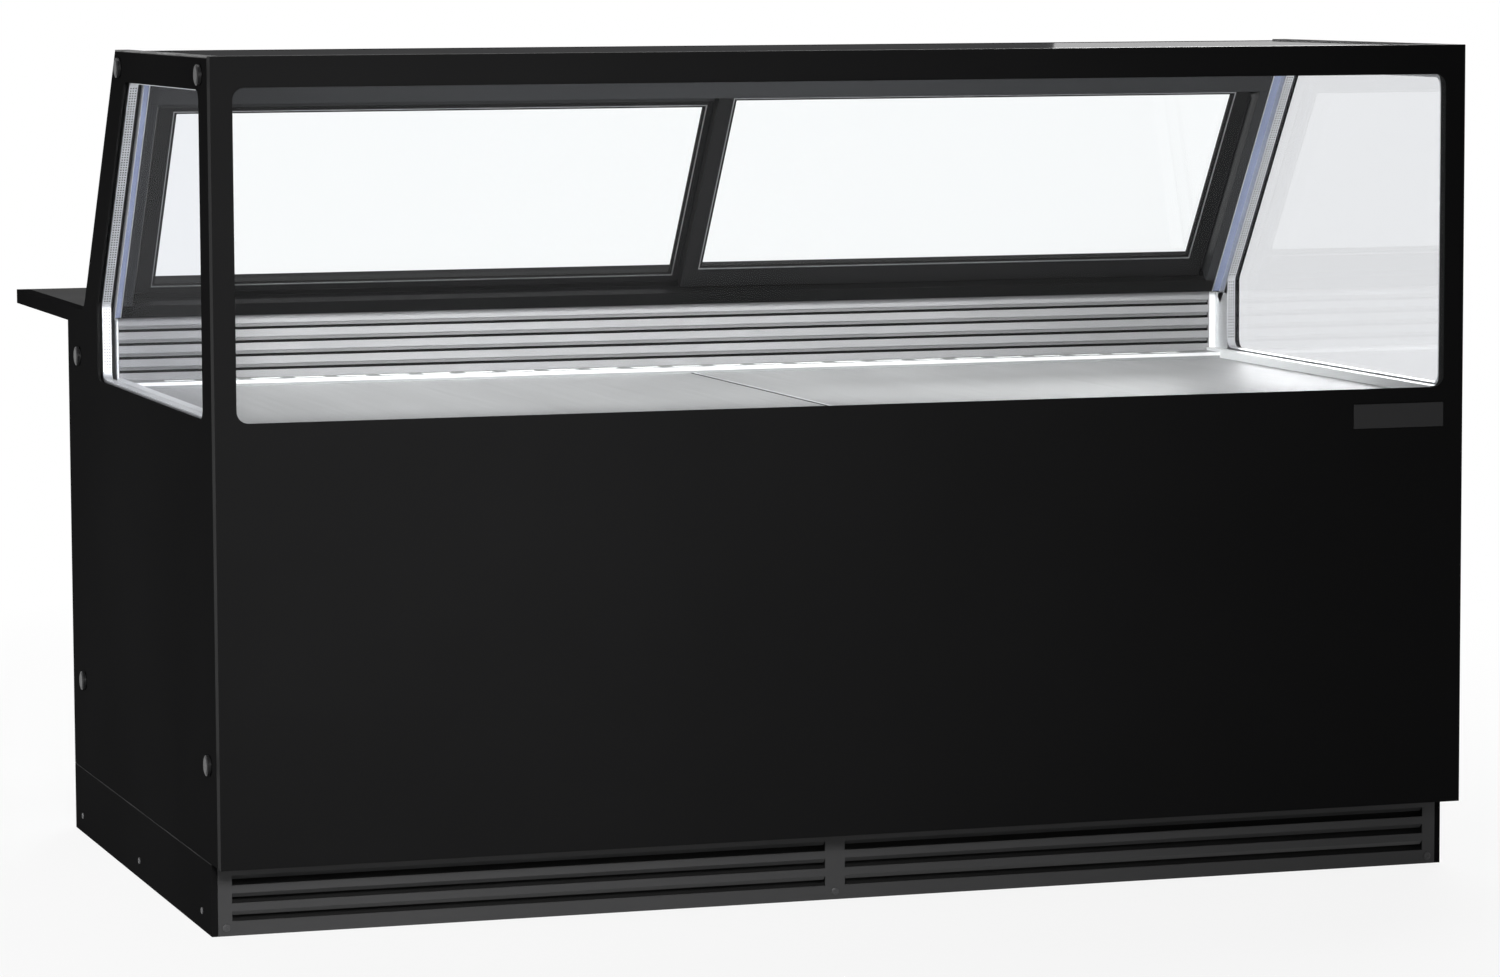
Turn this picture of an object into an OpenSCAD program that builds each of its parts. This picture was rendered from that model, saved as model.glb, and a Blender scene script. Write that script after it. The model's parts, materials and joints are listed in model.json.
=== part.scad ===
// Refrigerated dipping cabinet for a concession counter: an insulated cold well under two
// lift-out deck plates, a glazed upper with sliding rear doors, and a worktop behind it.
// +X runs along the counter, +Y from the customer's side to the server's side, +Z up.
// The origin is the middle of the floor under the whole cabinet. Millimetres.

/* [Cabinet] */
// Width over the two side panels
cabinet_w = 2000; // [1600:10:2400]
// Height of the flat top
cabinet_h = 1306; // [1280:2:1400]
// Depth of the body, from the front face to the rear panels
body_d = 1147; // [1120:1:1400]
// Depth of the flat top
top_d = 705; // [680:1:740]
// Lean of the rear doors from the vertical
slant_a = 35; // [33:0.5:36]
// Depth from the front face to the worktop's rear edge
worktop_d = 1625; // [1500:5:1800]
// Height of the worktop
worktop_z = 876; // [860:1:900]
// Thickness of the worktop's folded edge
worktop_t = 24; // [16:1:30]
// Radius where the side panel's slope meets its tail
tail_fillet_r = 50; // [20:1:80]

/* [Sheet metal] */
// Sheet thickness of the outer panels
sheet_t = 2; // [1:0.1:2.5]
// Depth of the folded edges of the outer panels
tray_d = 22; // [16:1:30]
// Sheet thickness of the liner and the deck
liner_t = 1.5; // [1:0.1:2]

/* [Plinth] */
// Height of the plinth
plinth_h = 110; // [100:1:150]
// Set-back of the plinth from the front face
plinth_setback = 70; // [40:1:120]
// Thickness of the plinth side panels
plinth_side_t = 9; // [6:1:14]
// Height of one slot of the plinth grille
plinth_slot_h = 15; // [8:1:20]
// Distance between the slots of the plinth grille
plinth_slot_pitch = 27; // [20:1:35]
// Height of the lowest slot's lower edge
plinth_slot_z = 22; // [15:1:30]
// Width of the grille's upright between its two slot fields
plinth_mullion_w = 32; // [16:1:60]
// Distance of that upright from the middle, towards the left
plinth_mullion_x = 22; // [0:1:60]
// Number of slots, one above another
plinth_slots = 3; // [2:1:3]

/* [Front window] */
// Width of the side borders of the front window
front_border = 33; // [25:1:60]
// Height of the border above the front window
front_border_top = 46; // [40:1:70]
// Height of the lower edge of the windows
window_z = 770; // [760:1:800]
// Corner radius of the front window
front_window_r = 18; // [8:1:30]
// Thickness of the front glass
front_glass_t = 6; // [4:1:8]
// How far the front glass runs past the window's edge
front_glass_lap = 12; // [8:1:14]

/* [Side windows] */
// Distance from the front face to the side window
side_window_y = 84; // [75:1:110]
// Distance from the flat top down to the side window
side_window_top = 50; // [45:1:70]
// Width of the sloping border behind the side window
side_window_border = 84; // [82:1:110]
// Distance from the front face to the window's upright rear edge
side_window_rear = 893; // [860:1:900]
// Corner radius of the side windows
side_window_r = 18; // [8:1:25]
// Distance from the back of the front tray to the side glazing's clear area
side_glass_gap = 19; // [19:1:38]
// How far the panes run past the window's edge
pane_cover = 12; // [8:1:14]
// Thickness of one side pane
pane_t = 5; // [4:0.5:6]
// Thickness of the rubber between glass and metal
seal_t = 2; // [1:0.5:3]
// Width of the spacer bar between the panes
spacer_w = 14; // [10:1:16]
// Height of the spacer bar's section
spacer_h = 7; // [5:1:9]

/* [Rear doors] */
// Width of a door's upright stiles
door_stile = 27; // [20:1:40]
// Width of a door's upper rail
door_top_rail = 24; // [20:1:40]
// Width of a door's lower rail
door_bottom_rail = 39; // [25:1:50]
// Length of the door glass down the slope
door_glass_h = 351; // [300:1:380]
// Thickness of a door frame
door_t = 18; // [14:1:20]
// Thickness of the door glass
door_glass_t = 5; // [4:1:6]
// How far the two closed doors overlap at the middle
door_overlap = 16; // [6:1:40]
// Clearance of a door in its track, on each side
track_gap = 1; // [0.5:0.1:2]
// Distance from the sloping face to the outer track
track_inset = 25; // [20:1:30]
// Thickness of the web between the two tracks
track_web = 2; // [2:0.5:4]
// Depth of the whole door frame behind the sloping face
door_frame_d = 80; // [78:1:82]
// Distance from the slope's top to the inner door's glass
inner_door_s = 63; // [60:1:70]
// How much lower the outer door sits down the slope
door_step = 29; // [26:1:34]
// Width of the groove beside a closed door
jamb_groove = 20; // [10:1:30]
// Width of the jambs
jamb_w = 31; // [20:1:45]

/* [Air grille and deck] */
// Height of the deck plates' upper face
deck_z = 756; // [740:1:758]
// Depth to the rear edge of the deck plates
deck_rear = 867; // [840:1:880]
// Gap between the two deck plates
deck_seam = 2; // [1:0.5:4]
// Width of the white ledge beside the deck plates
side_ledge = 17; // [12:1:25]
// Depth from the front face to the air grille
grille_y = 930; // [925:1:935]
// Number of slots in the air grille
grille_slots = 4; // [3:1:4]
// Height of one slot of the air grille
grille_slot_h = 10; // [8:1:12]
// Distance between the slots of the air grille
grille_slot_pitch = 22.3; // [20:0.1:24]
// Pitch of the return-air slots in the rear shelf
return_pitch = 72; // [60:1:90]
// Length of a return-air slot
return_slot = 50; // [30:1:55]

/* [Cold well] */
// Height of the liner's floor above the ground
well_floor = 480; // [460:1:520]
// Thickness of the foam
foam_t = 50; // [40:1:60]
// Depth from the front face to the partition before the evaporator
partition_y = 878; // [860:1:885]
// Height of the tub rails
tub_rail_z = 560; // [540:1:650]
// Distance between the tub rails
tub_rail_pitch = 205; // [180:1:205]
// Height of the evaporator fans' centres
evaporator_fan_z = 640; // [600:5:650]

/* [Machinery] */
// Section of the base frame's square tube
tube = 40; // [30:1:45]
// Distance from the front face to the base frame
base_front = 100; // [90:1:110]
// Distance of the drain from the left-hand side
drain_side = 150; // [120:5:200]
// Height of the drain outlet
drain_z = 220; // [180:5:260]
// Distance of the supply cable's gland from the right-hand side
gland_side = 130; // [100:5:180]
// Height of the supply cable's gland
gland_z = 200; // [150:5:300]
// Distance of the condensing unit from the middle, towards the right
condenser_x = 250; // [200:10:350]
// Outer radius of the drain pipe
drain_r = 13; // [10:0.5:16]
// Outer radius of the condenser fan
condenser_fan_r = 125; // [100:1:130]
// Outer radius of an evaporator fan
evaporator_fan_r = 70; // [60:1:75]
// Distance of an evaporator fan from the middle
evaporator_fan_x = 450; // [300:1:600]

/* [Hidden] */
$fn = 48;
badge_t = 1.5;
half_w = cabinet_w / 2;
face_in = half_w - sheet_t;
unit_t = 2 * pane_t + spacer_w;
inner_x = face_in - seal_t - unit_t - 1;
pane_out = face_in - seal_t;
pane_in = pane_out - unit_t;
window_top = cabinet_h - side_window_top;
front_window_top = cabinet_h - front_border_top;
frame_y = tray_d;
side_glass_front = frame_y + side_glass_gap;
seal_g = pane_cover + 5;
door_n_out = track_inset + track_gap;
door_n_in = door_n_out + door_t + 2 * track_gap + track_web;
jamb_x = inner_x - jamb_w;
door_w = (2 * jamb_x - 2 * jamb_groove / 2 + door_overlap) / 2;
door_h = door_top_rail + door_glass_h + door_bottom_rail;
inner_top_s = inner_door_s - door_top_rail;
outer_top_s = inner_top_s + door_step;
glide_h = 10;
sill_z = worktop_z - 8;
grille_z0 = window_z - 5;
rear_y = body_d - sheet_t;
tank_x = inner_x - 38;
tank_y0 = frame_y + 40;
tank_y1 = rear_y - foam_t;
foam_top = deck_z - 6;
foam_floor = well_floor - foam_t;
roof_z = worktop_z - worktop_t;
hole_gap = 0.2;
loose_gap = 0.3;
cap_r = 15.5;
cap_stem_r = 4;
cap_drop = side_window_top - seal_g - cap_stem_r - 1;
cap_places = [[top_d - 34, cabinet_h - cap_drop], [68, cabinet_h - cap_drop],
    [body_d - 99, worktop_z - 77], [body_d - 102, plinth_h + 151], [68, plinth_h + 148]];
foot_x = half_w - 60;
foot_r = 19;
stem_r = 3;
screw_r = 3;
grille_end = half_w - plinth_side_t - 0.5;
front_screw_x = [-grille_end + 13, -plinth_mullion_x, grille_end - 13];
rear_screw_x = [-grille_end + 13, grille_end - 13];
side_screw_y = [plinth_setback + 66, (plinth_setback + body_d) / 2, body_d - 66];
front_screw_z = 12;
side_screw_z = 29;
rear_screw_z = 20;
left_door_x = -jamb_x + jamb_groove / 2;
right_door_x = jamb_x - jamb_groove / 2 - door_w;
drain_x = -half_w + drain_side;
drain_y = tank_y1 - 150;
valve_y = body_d + 40;
gland_x = half_w - gland_side;
gland_bore_r = 5;
gland_shank_r = 10;
controls_z = roof_z - 62;
controls_y = body_d + 60;
rocker_tip = 8;
rocker_x = [50, 100];
machine_floor = plinth_h + liner_t;
coil_y = base_front + 70;
coil_d = 70;
coil_half_w = 170;
coil_h = 260;
shroud_y = coil_y + coil_d;
condenser_fan_z = machine_floor + coil_h / 2;

// ---------- helpers ----------

// Moves the front-face frame to the middle of the whole cabinet
module place() {
    translate([0, -(worktop_d - badge_t) / 2, 0]) children();
}

// Box from one corner to the other
module box(a, b) {
    translate(a) cube(b - a);
}

// A right-hand piece and its mirror image on the left
module both_sides() {
    children();
    mirror([1, 0, 0]) children();
}

// Outline in depth and height, drawn out along X
module slab_x(x0, x1) {
    translate([x0, 0, 0]) rotate([90, 0, 90]) linear_extrude(x1 - x0) children();
}

// Outline in width and height, drawn out along Y
module slab_y(y0, y1) {
    translate([0, y1, 0]) rotate([90, 0, 0]) linear_extrude(y1 - y0) children();
}

// Cylinder along X, Y or Z from a start point
module rod(p, r, len, dir) {
    turn = dir == "x" ? [0, 90, 0] : dir == "y" ? [-90, 0, 0] : [0, 0, 0];
    translate(p) rotate(turn) cylinder(r = r, h = len);
}

// Ring along X, Y or Z
module ring(p, r_in, r_out, len, dir) {
    difference() {
        rod(p, r_out, len, dir);
        turn = dir == "x" ? [0, 90, 0] : dir == "y" ? [-90, 0, 0] : [0, 0, 0];
        translate(p) rotate(turn) translate([0, 0, -1]) cylinder(r = r_in, h = len + 2);
    }
}

// Rectangle with true round corners, from corner a to corner b
module round_rect(a, b, r) {
    translate([a.x + r, a.y]) square([b.x - a.x - 2 * r, b.y - a.y]);
    translate([a.x, a.y + r]) square([b.x - a.x, b.y - a.y - 2 * r]);
    for (x = [a.x + r, b.x - r], y = [a.y + r, b.y - r])
        translate([x, y]) circle(r);
}

// Local frame of the sloping rear: Y is -distance inside the slope, Z is -distance down it
module on_slope() {
    translate([0, top_d, cabinet_h]) rotate([slant_a, 0, 0]) children();
}

// Box in the slope's frame: n is the distance inside the slope, s the distance down it
module slope_box(x0, x1, n0, n1, s0, s1) {
    on_slope() box([x0, -n1, -s1], [x1, -n0, -s0]);
}

function unit(v) = v / norm(v);

// Depth and height on a line n inside the slope
function slope_y(z, n) = top_d + ((cabinet_h - z) * sin(slant_a) - n) / cos(slant_a);
function slope_z(y, n) = cabinet_h - ((y - top_d) * cos(slant_a) + n) / sin(slant_a);

// Points along an arc
function arc(c, r, a0, a1, n) =
    [for (i = [0:n]) c + r * [cos(a0 + (a1 - a0) * i / n), sin(a0 + (a1 - a0) * i / n)]];

// The outline p, drawn anticlockwise, with each edge moved inwards by d
function inset(p, d) = [for (i = [0:len(p) - 1])
    let (b = p[i],
        u = unit(b - p[(i + len(p) - 1) % len(p)]),
        v = unit(p[(i + 1) % len(p)] - b))
    b + [-u.y - v.y, u.x + v.x] * d / (1 + u * v)];

// One corner of an outline replaced by an arc of radius r
function corner_arc(a, b, c, r, n) =
    let (u = unit(a - b), v = unit(c - b),
        half = acos(u * v) / 2,
        m = b + unit(u + v) * r / sin(half),
        p0 = b + u * r / tan(half) - m,
        p1 = b + v * r / tan(half) - m,
        a0 = atan2(p0.y, p0.x),
        turn = atan2(p1.y, p1.x) - a0,
        sweep = turn > 180 ? turn - 360 : turn < -180 ? turn + 360 : turn)
    arc(m, r, a0, a0 + sweep, n);

function round_corners(p, r, n = 5) = [for (i = [0:len(p) - 1])
    each corner_arc(p[(i + len(p) - 1) % len(p)], p[i], p[(i + 1) % len(p)], r, n)];

// A side window's outline from its front edge, grown by g all round
function window_outline(front, g) = round_corners([
    [front - g, window_z - g],
    [side_window_rear + g, window_z - g],
    [side_window_rear + g, slope_z(side_window_rear + g, side_window_border - g)],
    [slope_y(window_top + g, side_window_border - g), window_top + g],
    [front - g, window_top + g]], side_window_r + max(g, -side_window_r / 2));

// The window in the side panel
function side_window(g) = window_outline(side_window_y, g);

// The glazing behind it, which runs on behind the border to the front panel
function side_unit(g) = window_outline(side_glass_front, g);

// The side panel's outline, with its tail under the worktop's ends
function side_outline() =
    let (foot = slope_y(worktop_z, 0),
        c = [foot + tail_fillet_r * (1 - sin(slant_a)) / cos(slant_a),
            worktop_z + tail_fillet_r])
    concat(
        [[frame_y, plinth_h], [body_d, plinth_h], [body_d, roof_z],
            [worktop_d, roof_z], [worktop_d, worktop_z]],
        arc(c, tail_fillet_r, 270, 180 + slant_a, 6),
        [[top_d, cabinet_h], [frame_y, cabinet_h]]);

// Slat folded back and down from the upper edge of a slot in an upright plate at depth y
module slot_lip(x0, x1, y, z, reach, drop) {
    slab_x(x0, x1) polygon([[y + 0.4, z + 0.5], [y + reach, z - drop],
        [y + reach + 0.8, z - drop + 0.8], [y + sheet_t, z + 0.5]]);
}

// ---------- plinth and base ----------

// Square tube from one end to the other along X, Y or Z
module square_tube(a, len, dir) {
    size = dir == "x" ? [len, tube, tube] : dir == "y" ? [tube, len, tube] : [tube, tube, len];
    bore = tube - 2 * sheet_t;
    hole = dir == "x" ? [len + 2, bore, bore]
        : dir == "y" ? [bore, len + 2, bore] : [bore, bore, len + 2];
    shift = dir == "x" ? [-1, sheet_t, sheet_t]
        : dir == "y" ? [sheet_t, -1, sheet_t] : [sheet_t, sheet_t, -1];
    translate(a) difference() {
        cube(size);
        translate(shift) cube(hole);
    }
}

// Welded square-tube frame: floor rails, uprights and the rails that carry the foamed tub
module base_frame() {
    low = plinth_h - tube;
    out = inner_x;
    front = base_front;
    back = rear_y - tube;
    span = back - front - tube;
    post_h = foam_floor - tube - plinth_h;
    color("dimgray") {
        for (y = [front, back], z = [low, foam_floor - tube])
            translate([0, y, 0]) square_tube([-out, 0, z], 2 * out, "x");
        for (x = [-out, -tube / 2, out - tube])
            square_tube([x, front + tube, low], span, "y");
        for (x = [-out, out - tube], y = [front, back])
            square_tube([x, y, plinth_h], post_h, "z");
        for (x = [-out, out - tube])
            square_tube([x, front + tube, foam_floor - tube], span, "y");
    }
}

// Levelling foot: pad, stem and lock nut
module foot() {
    cylinder(r = foot_r, h = 8);
    translate([0, 0, 8]) cylinder(r1 = foot_r, r2 = 12, h = 8);
    translate([0, 0, 16]) cylinder(r = 6, h = plinth_h - tube - 16);
    translate([0, 0, plinth_h - tube - 8]) cylinder(r = 11, h = 8, $fn = 6);
}

module levelling_feet() {
    color("black")
        for (x = [-foot_x, 0, foot_x], y = [base_front + tube / 2, rear_y - tube / 2])
            translate([x, y, 0]) foot();
}

// Left end and width of each slot field
function plinth_fields() =
    let (edge = 30, mid = -plinth_mullion_x, end = half_w - plinth_side_t - 1)
    [[-end + edge - 9, mid - plinth_mullion_w / 2], [mid + plinth_mullion_w / 2, end - edge + 9]];

// Slotted front plate; the metal of each slot is folded back as a lip under its upper edge
module front_plinth_grille() {
    y = plinth_setback;
    end = grille_end;
    slots = [for (i = [0:plinth_slots - 1]) plinth_slot_z + i * plinth_slot_pitch];
    color([0.2, 0.2, 0.2]) {
        difference() {
            box([-end, y, 0], [end, y + sheet_t, plinth_h]);
            for (f = plinth_fields(), z = slots)
                box([f[0], y - 1, z], [f[1], y + sheet_t + 1, z + plinth_slot_h]);
            for (x = front_screw_x)
                rod([x, y - 1, front_screw_z], screw_r + hole_gap, sheet_t + 2, "y");
        }
        for (f = plinth_fields(), z = slots)
            slot_lip(f[0], f[1], y, z + plinth_slot_h, 9, 7);
        for (x = [-end, end - liner_t])
            box([x, y + sheet_t, 0], [x + liner_t, base_front - 1, plinth_h]);
    }
}

// Side plates of the plinth, flush with the side panels
module plinth_side_panels() {
    color([0.06, 0.06, 0.06]) both_sides() difference() {
        box([half_w - plinth_side_t, plinth_setback, 0], [half_w, body_d, plinth_h - 0.5]);
        box([half_w - plinth_side_t - 1, plinth_setback + 30, 4],
            [half_w - sheet_t, body_d - 30, plinth_h - 4]);
        for (y = side_screw_y)
            rod([face_in - 1, y, side_screw_z], screw_r + hole_gap, sheet_t + 2, "x");
    }
}

// Removable rear plate of the plinth with air slots
module rear_plinth_panel() {
    end = grille_end;
    color([0.1, 0.1, 0.1]) difference() {
        box([-end, rear_y, 4], [end, body_d, plinth_h - 0.5]);
        for (i = [-4:4], z = [40, 62])
            box([i * 200 - 60, rear_y - 1, z], [i * 200 + 60, body_d + 1, z + 10]);
        for (x = rear_screw_x)
            rod([x, rear_y - 1, rear_screw_z], screw_r + hole_gap, sheet_t + 2, "y");
    }
}

// Button-head screw with its head on the plane z = 0 and its stem behind it
module screw(head_r = 6, head_h = 2, stem = 8) {
    rim = head_h * 0.6;
    difference() {
        union() {
            cylinder(r = head_r, h = rim);
            translate([0, 0, rim])
                cylinder(r1 = head_r, r2 = head_r * 0.75, h = head_h - rim);
        }
        translate([0, 0, head_h - 1]) cylinder(r = head_r * 0.35, h = 2, $fn = 6);
    }
    translate([0, 0, -stem]) cylinder(r = screw_r, h = stem);
}

module plinth_screws() {
    color([0.25, 0.25, 0.25]) {
        for (x = front_screw_x)
            translate([x, plinth_setback, front_screw_z]) rotate([90, 0, 0]) screw();
        both_sides() for (y = side_screw_y)
            translate([half_w, y, side_screw_z]) rotate([0, 90, 0]) screw(5, 2, 6);
        for (x = rear_screw_x)
            translate([x, body_d, rear_screw_z]) rotate([-90, 0, 0]) screw();
    }
}

// ---------- outer panels ----------

// Folded front tray with the large window
module front_panel() {
    edge = front_border;
    color([0.05, 0.05, 0.05]) difference() {
        box([-half_w, 0, plinth_h], [half_w, tray_d, cabinet_h]);
        box([-half_w + sheet_t, sheet_t, plinth_h + sheet_t],
            [half_w - sheet_t, tray_d + 1, cabinet_h - sheet_t]);
        slab_y(-1, sheet_t + 1)
            round_rect([-half_w + edge, window_z], [half_w - edge, front_window_top], front_window_r);
    }
}

// Bare plate at the right under the window
module badge_plate() {
    color([0.08, 0.08, 0.08])
        box([half_w - 187, -badge_t, window_z - 62], [half_w - 34, 0, window_z - 24]);
}

// Folded side tray with its window and tail
module side_panel() {
    o = side_outline();
    difference() {
        union() {
            slab_x(face_in, half_w) polygon(o);
            slab_x(half_w - tray_d, half_w) difference() {
                polygon(o);
                polygon(inset(o, sheet_t));
            }
        }
        slab_x(face_in - 1, half_w + 1) polygon(side_window(0));
        for (p = cap_places)
            rod([face_in - 1, p.x, p.y], cap_stem_r + hole_gap, sheet_t + 2, "x");
    }
}

module left_side_panel() {
    color([0.07, 0.07, 0.07]) mirror([1, 0, 0]) side_panel();
}

module right_side_panel() {
    color([0.05, 0.05, 0.05]) side_panel();
}

// Covered fixing bolts of the side panels
module side_panel_caps() {
    color([0.15, 0.15, 0.15]) both_sides() for (p = cap_places) {
        rod([half_w - 9, p.x, p.y], cap_stem_r, 10, "x");
        rod([half_w, p.x, p.y], cap_r - 4, 2, "x");
        rod([half_w + 2, p.x, p.y], cap_r, 4, "x");
        translate([half_w + 6, p.x, p.y]) rotate([0, 90, 0])
            cylinder(r1 = cap_r, r2 = cap_r - 3, h = 1.5);
    }
}

// ---------- glazing ----------

module front_glass() {
    over = front_glass_lap;
    y0 = sheet_t + seal_t;
    color([0.85, 0.92, 0.95, 0.3])
        box([-half_w + front_border - over, y0, window_z - over],
            [half_w - front_border + over, y0 + front_glass_t, front_window_top + over]);
}

// Rubber frame between the front tray and the front glass, with its holding bead behind
module front_glass_seal() {
    lap = [front_glass_lap, front_glass_lap];
    y1 = sheet_t + seal_t + front_glass_t;
    a = [-half_w + front_border, window_z];
    b = [half_w - front_border, front_window_top];
    color("black") for (y = [[sheet_t, sheet_t + seal_t], [y1, tray_d]])
        slab_y(y[0], y[1]) difference() {
            translate(a - lap) square(b - a + 2 * lap);
            round_rect(a - [4, 4], b + [4, 4], front_window_r + 4);
        }
}

// Thermally broken frame round a side pane, between the liner's plane and the side panel
module side_glass_frames() {
    front = frame_y + sheet_t;
    rear = grille_y + 30;
    outline = [
        [front, foam_top - 30], [rear, foam_top - 30], [rear, slope_z(rear, sheet_t)],
        [slope_y(cabinet_h - sheet_t, sheet_t), cabinet_h - sheet_t], [front, cabinet_h - sheet_t]];
    color([0.08, 0.08, 0.08]) both_sides() difference() {
        slab_x(inner_x, face_in) polygon(outline);
        slab_x(inner_x - 1, face_in + 1)
            polygon(window_outline(front + seal_g - 1, seal_g));
        for (p = cap_places)
            rod([half_w - 10, p.x, p.y], cap_stem_r + hole_gap, 20, "x");
    }
}

// Double-glazed side unit: an outer and an inner pane
module side_glass() {
    for (x = [pane_in, pane_out - pane_t])
        slab_x(x, x + pane_t) polygon(side_unit(pane_cover));
}

module left_side_glass() {
    color([0.85, 0.92, 0.97, 0.3]) mirror([1, 0, 0]) side_glass();
}

module right_side_glass() {
    color([0.85, 0.92, 0.97, 0.3]) side_glass();
}

// Metal spacer between the panes
module side_glass_spacers() {
    color([0.8, 0.82, 0.84]) both_sides()
        slab_x(pane_in + pane_t, pane_out - pane_t) difference() {
            polygon(side_unit(spacer_h - 2));
            polygon(side_unit(-2));
        }
}

// Rubber round the edge of each side unit, with a lip under the side panel's sheet
module side_glass_seals() {
    color("black") both_sides() {
        slab_x(pane_in, pane_out) difference() {
            polygon(side_unit(seal_g));
            polygon(side_unit(pane_cover));
        }
        slab_x(pane_out, face_in) difference() {
            polygon(side_unit(seal_g));
            polygon(side_window(3));
        }
    }
}

// Upper frame: front rail, two side rails and the rear rail over the doors
module top_frame() {
    z0 = cabinet_h - tray_d;
    top = cabinet_h - sheet_t;
    color([0.08, 0.08, 0.08]) difference() {
        slab_x(-inner_x, inner_x) polygon([
            [frame_y, z0], [slope_y(z0, sheet_t), z0], [slope_y(top, sheet_t), top], [frame_y, top]]);
        box([-inner_x + 25, frame_y + 38, z0 - 1], [inner_x - 25, top_d - 85, top + 1]);
        box([-inner_x + 10, frame_y + 23, top - front_glass_t],
            [inner_x - 10, top_d - 70, top + 1]);
    }
}

module top_glass() {
    top = cabinet_h - sheet_t;
    color([0.1, 0.1, 0.12, 0.8])
        box([-inner_x + 11, frame_y + 24, top - front_glass_t], [inner_x - 11, top_d - 71, top]);
}

// Lamp bar under the front rail
module lamp_housing() {
    z1 = cabinet_h - tray_d;
    color("silver") difference() {
        box([-half_w + 80, frame_y + 4, z1 - 16], [half_w - 80, frame_y + 34, z1]);
        box([-half_w + 82, frame_y + 6, z1 - 17], [half_w - 82, frame_y + 32, z1 - 2]);
    }
}

module lamp_diffuser() {
    z1 = cabinet_h - tray_d;
    color([1, 1, 1, 0.8])
        box([-half_w + 82, frame_y + 6, z1 - 15], [half_w - 82, frame_y + 32, z1 - 6]);
}

// ---------- rear door frame and doors ----------

// A track for one door: its clearance space between two distances down the slope
module track_space(n0, s0, s1, x = jamb_x) {
    slope_box(-x, x, n0 - track_gap, n0 + door_t + track_gap, s0, s1);
}

// Head of the door frame, stepped so that the outer door runs lower
module door_frame_head() {
    z1 = cabinet_h - tray_d;
    color([0.09, 0.09, 0.09]) difference() {
        intersection() {
            union() {
                slope_box(-inner_x, inner_x, sheet_t, door_frame_d, -80, inner_top_s + 12);
                slope_box(-inner_x, inner_x, sheet_t, door_n_in - track_gap, 0, outer_top_s + 12);
            }
            box([-half_w, 0, 0], [half_w, body_d, z1]);
        }
        track_space(door_n_in, inner_top_s - 6, 500);
        track_space(door_n_out, outer_top_s - 6, 500);
    }
}

// Sloping jambs at the two ends
module door_frame_jambs() {
    s0 = outer_top_s + 12;
    color([0.09, 0.09, 0.09]) both_sides() difference() {
        slope_box(jamb_x, inner_x, sheet_t, door_frame_d, s0, inner_top_s + door_h + 1);
        slope_box(jamb_x - 1, jamb_x + 3, door_n_in, door_n_in + door_t, s0 - 1, s0 + 500);
    }
    color([0.09, 0.09, 0.09]) both_sides()
        slope_box(jamb_x, inner_x, door_n_in - track_gap, door_frame_d, inner_top_s + 12, s0);
}

// Sill with the two lower tracks
module door_frame_sill() {
    s0 = inner_top_s + door_h + 1;
    color([0.09, 0.09, 0.09]) difference() {
        intersection() {
            slope_box(-inner_x, inner_x, sheet_t, door_frame_d, s0, s0 + 80);
            box([-half_w, 0, sill_z], [half_w, slope_y(worktop_z, 0), cabinet_h]);
        }
        track_space(door_n_in, 0, inner_top_s + door_h + glide_h);
        track_space(door_n_out, 0, outer_top_s + door_h + glide_h);
    }
}

// Mitred door frame with two glides under it; n and s place it in the slope's frame
module door_frame(x0, n, s) {
    glass_s = s + door_top_rail;
    difference() {
        slope_box(x0, x0 + door_w, n, n + door_t, s, s + door_h);
        slope_box(x0 + door_stile, x0 + door_w - door_stile, n - 1, n + door_t + 1,
            glass_s, glass_s + door_glass_h);
        slope_box(x0 + door_stile - 8, x0 + door_w - door_stile + 8,
            n + 6, n + 6 + door_glass_t + 0.4, glass_s - 8, glass_s + door_glass_h + 8);
    }
    for (x = [x0 + 60, x0 + door_w - 100])
        slope_box(x, x + 40, n + 4, n + door_t - 4, s + door_h, s + door_h + glide_h - 0.3);
}

module door_glass(x0, n, s) {
    glass_s = s + door_top_rail;
    slope_box(x0 + door_stile - 7, x0 + door_w - door_stile + 7,
        n + 6.2, n + 6.2 + door_glass_t, glass_s - 7, glass_s + door_glass_h + 7.8);
}

// Pull strip on the door's outer face
module door_pull(x, n, s) {
    slope_box(x, x + 14, n - 5, n, s + 120, s + 300);
    slope_box(x, x + 4, n - 12, n - 5, s + 120, s + 300);
}

module left_door_frame() {
    color([0.1, 0.1, 0.1]) door_frame(left_door_x, door_n_out, outer_top_s);
}

module left_door_glass() {
    color([0.9, 0.95, 0.97, 0.3]) door_glass(left_door_x, door_n_out, outer_top_s);
}

module right_door_frame() {
    color([0.1, 0.1, 0.1]) door_frame(right_door_x, door_n_in, inner_top_s);
}

module right_door_glass() {
    color([0.9, 0.95, 0.97, 0.3]) door_glass(right_door_x, door_n_in, inner_top_s);
}

module left_door_pull() {
    color("dimgray") door_pull(left_door_x + 6, door_n_out, outer_top_s);
}

module right_door_pull() {
    color("dimgray") door_pull(right_door_x + door_w - 20, door_n_in, inner_top_s);
}

// ---------- air grille and deck ----------

// Louvred outlet plate under the doors
module rear_air_grille() {
    y = grille_y;
    end = inner_x - 14;
    slots = [for (i = [0:grille_slots - 1]) grille_z0 + 12 + i * grille_slot_pitch];
    color([0.75, 0.76, 0.77]) {
        difference() {
            box([-inner_x, y, grille_z0], [inner_x, y + sheet_t, sill_z]);
            for (z = slots)
                box([-end, y - 1, z], [end, y + sheet_t + 1, z + grille_slot_h]);
        }
        for (z = slots)
            slot_lip(-end, end, y, z + grille_slot_h, 8, 5);
        box([-inner_x, y + sheet_t, grille_z0], [inner_x, y + 20, grille_z0 + sheet_t]);
    }
}

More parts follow.
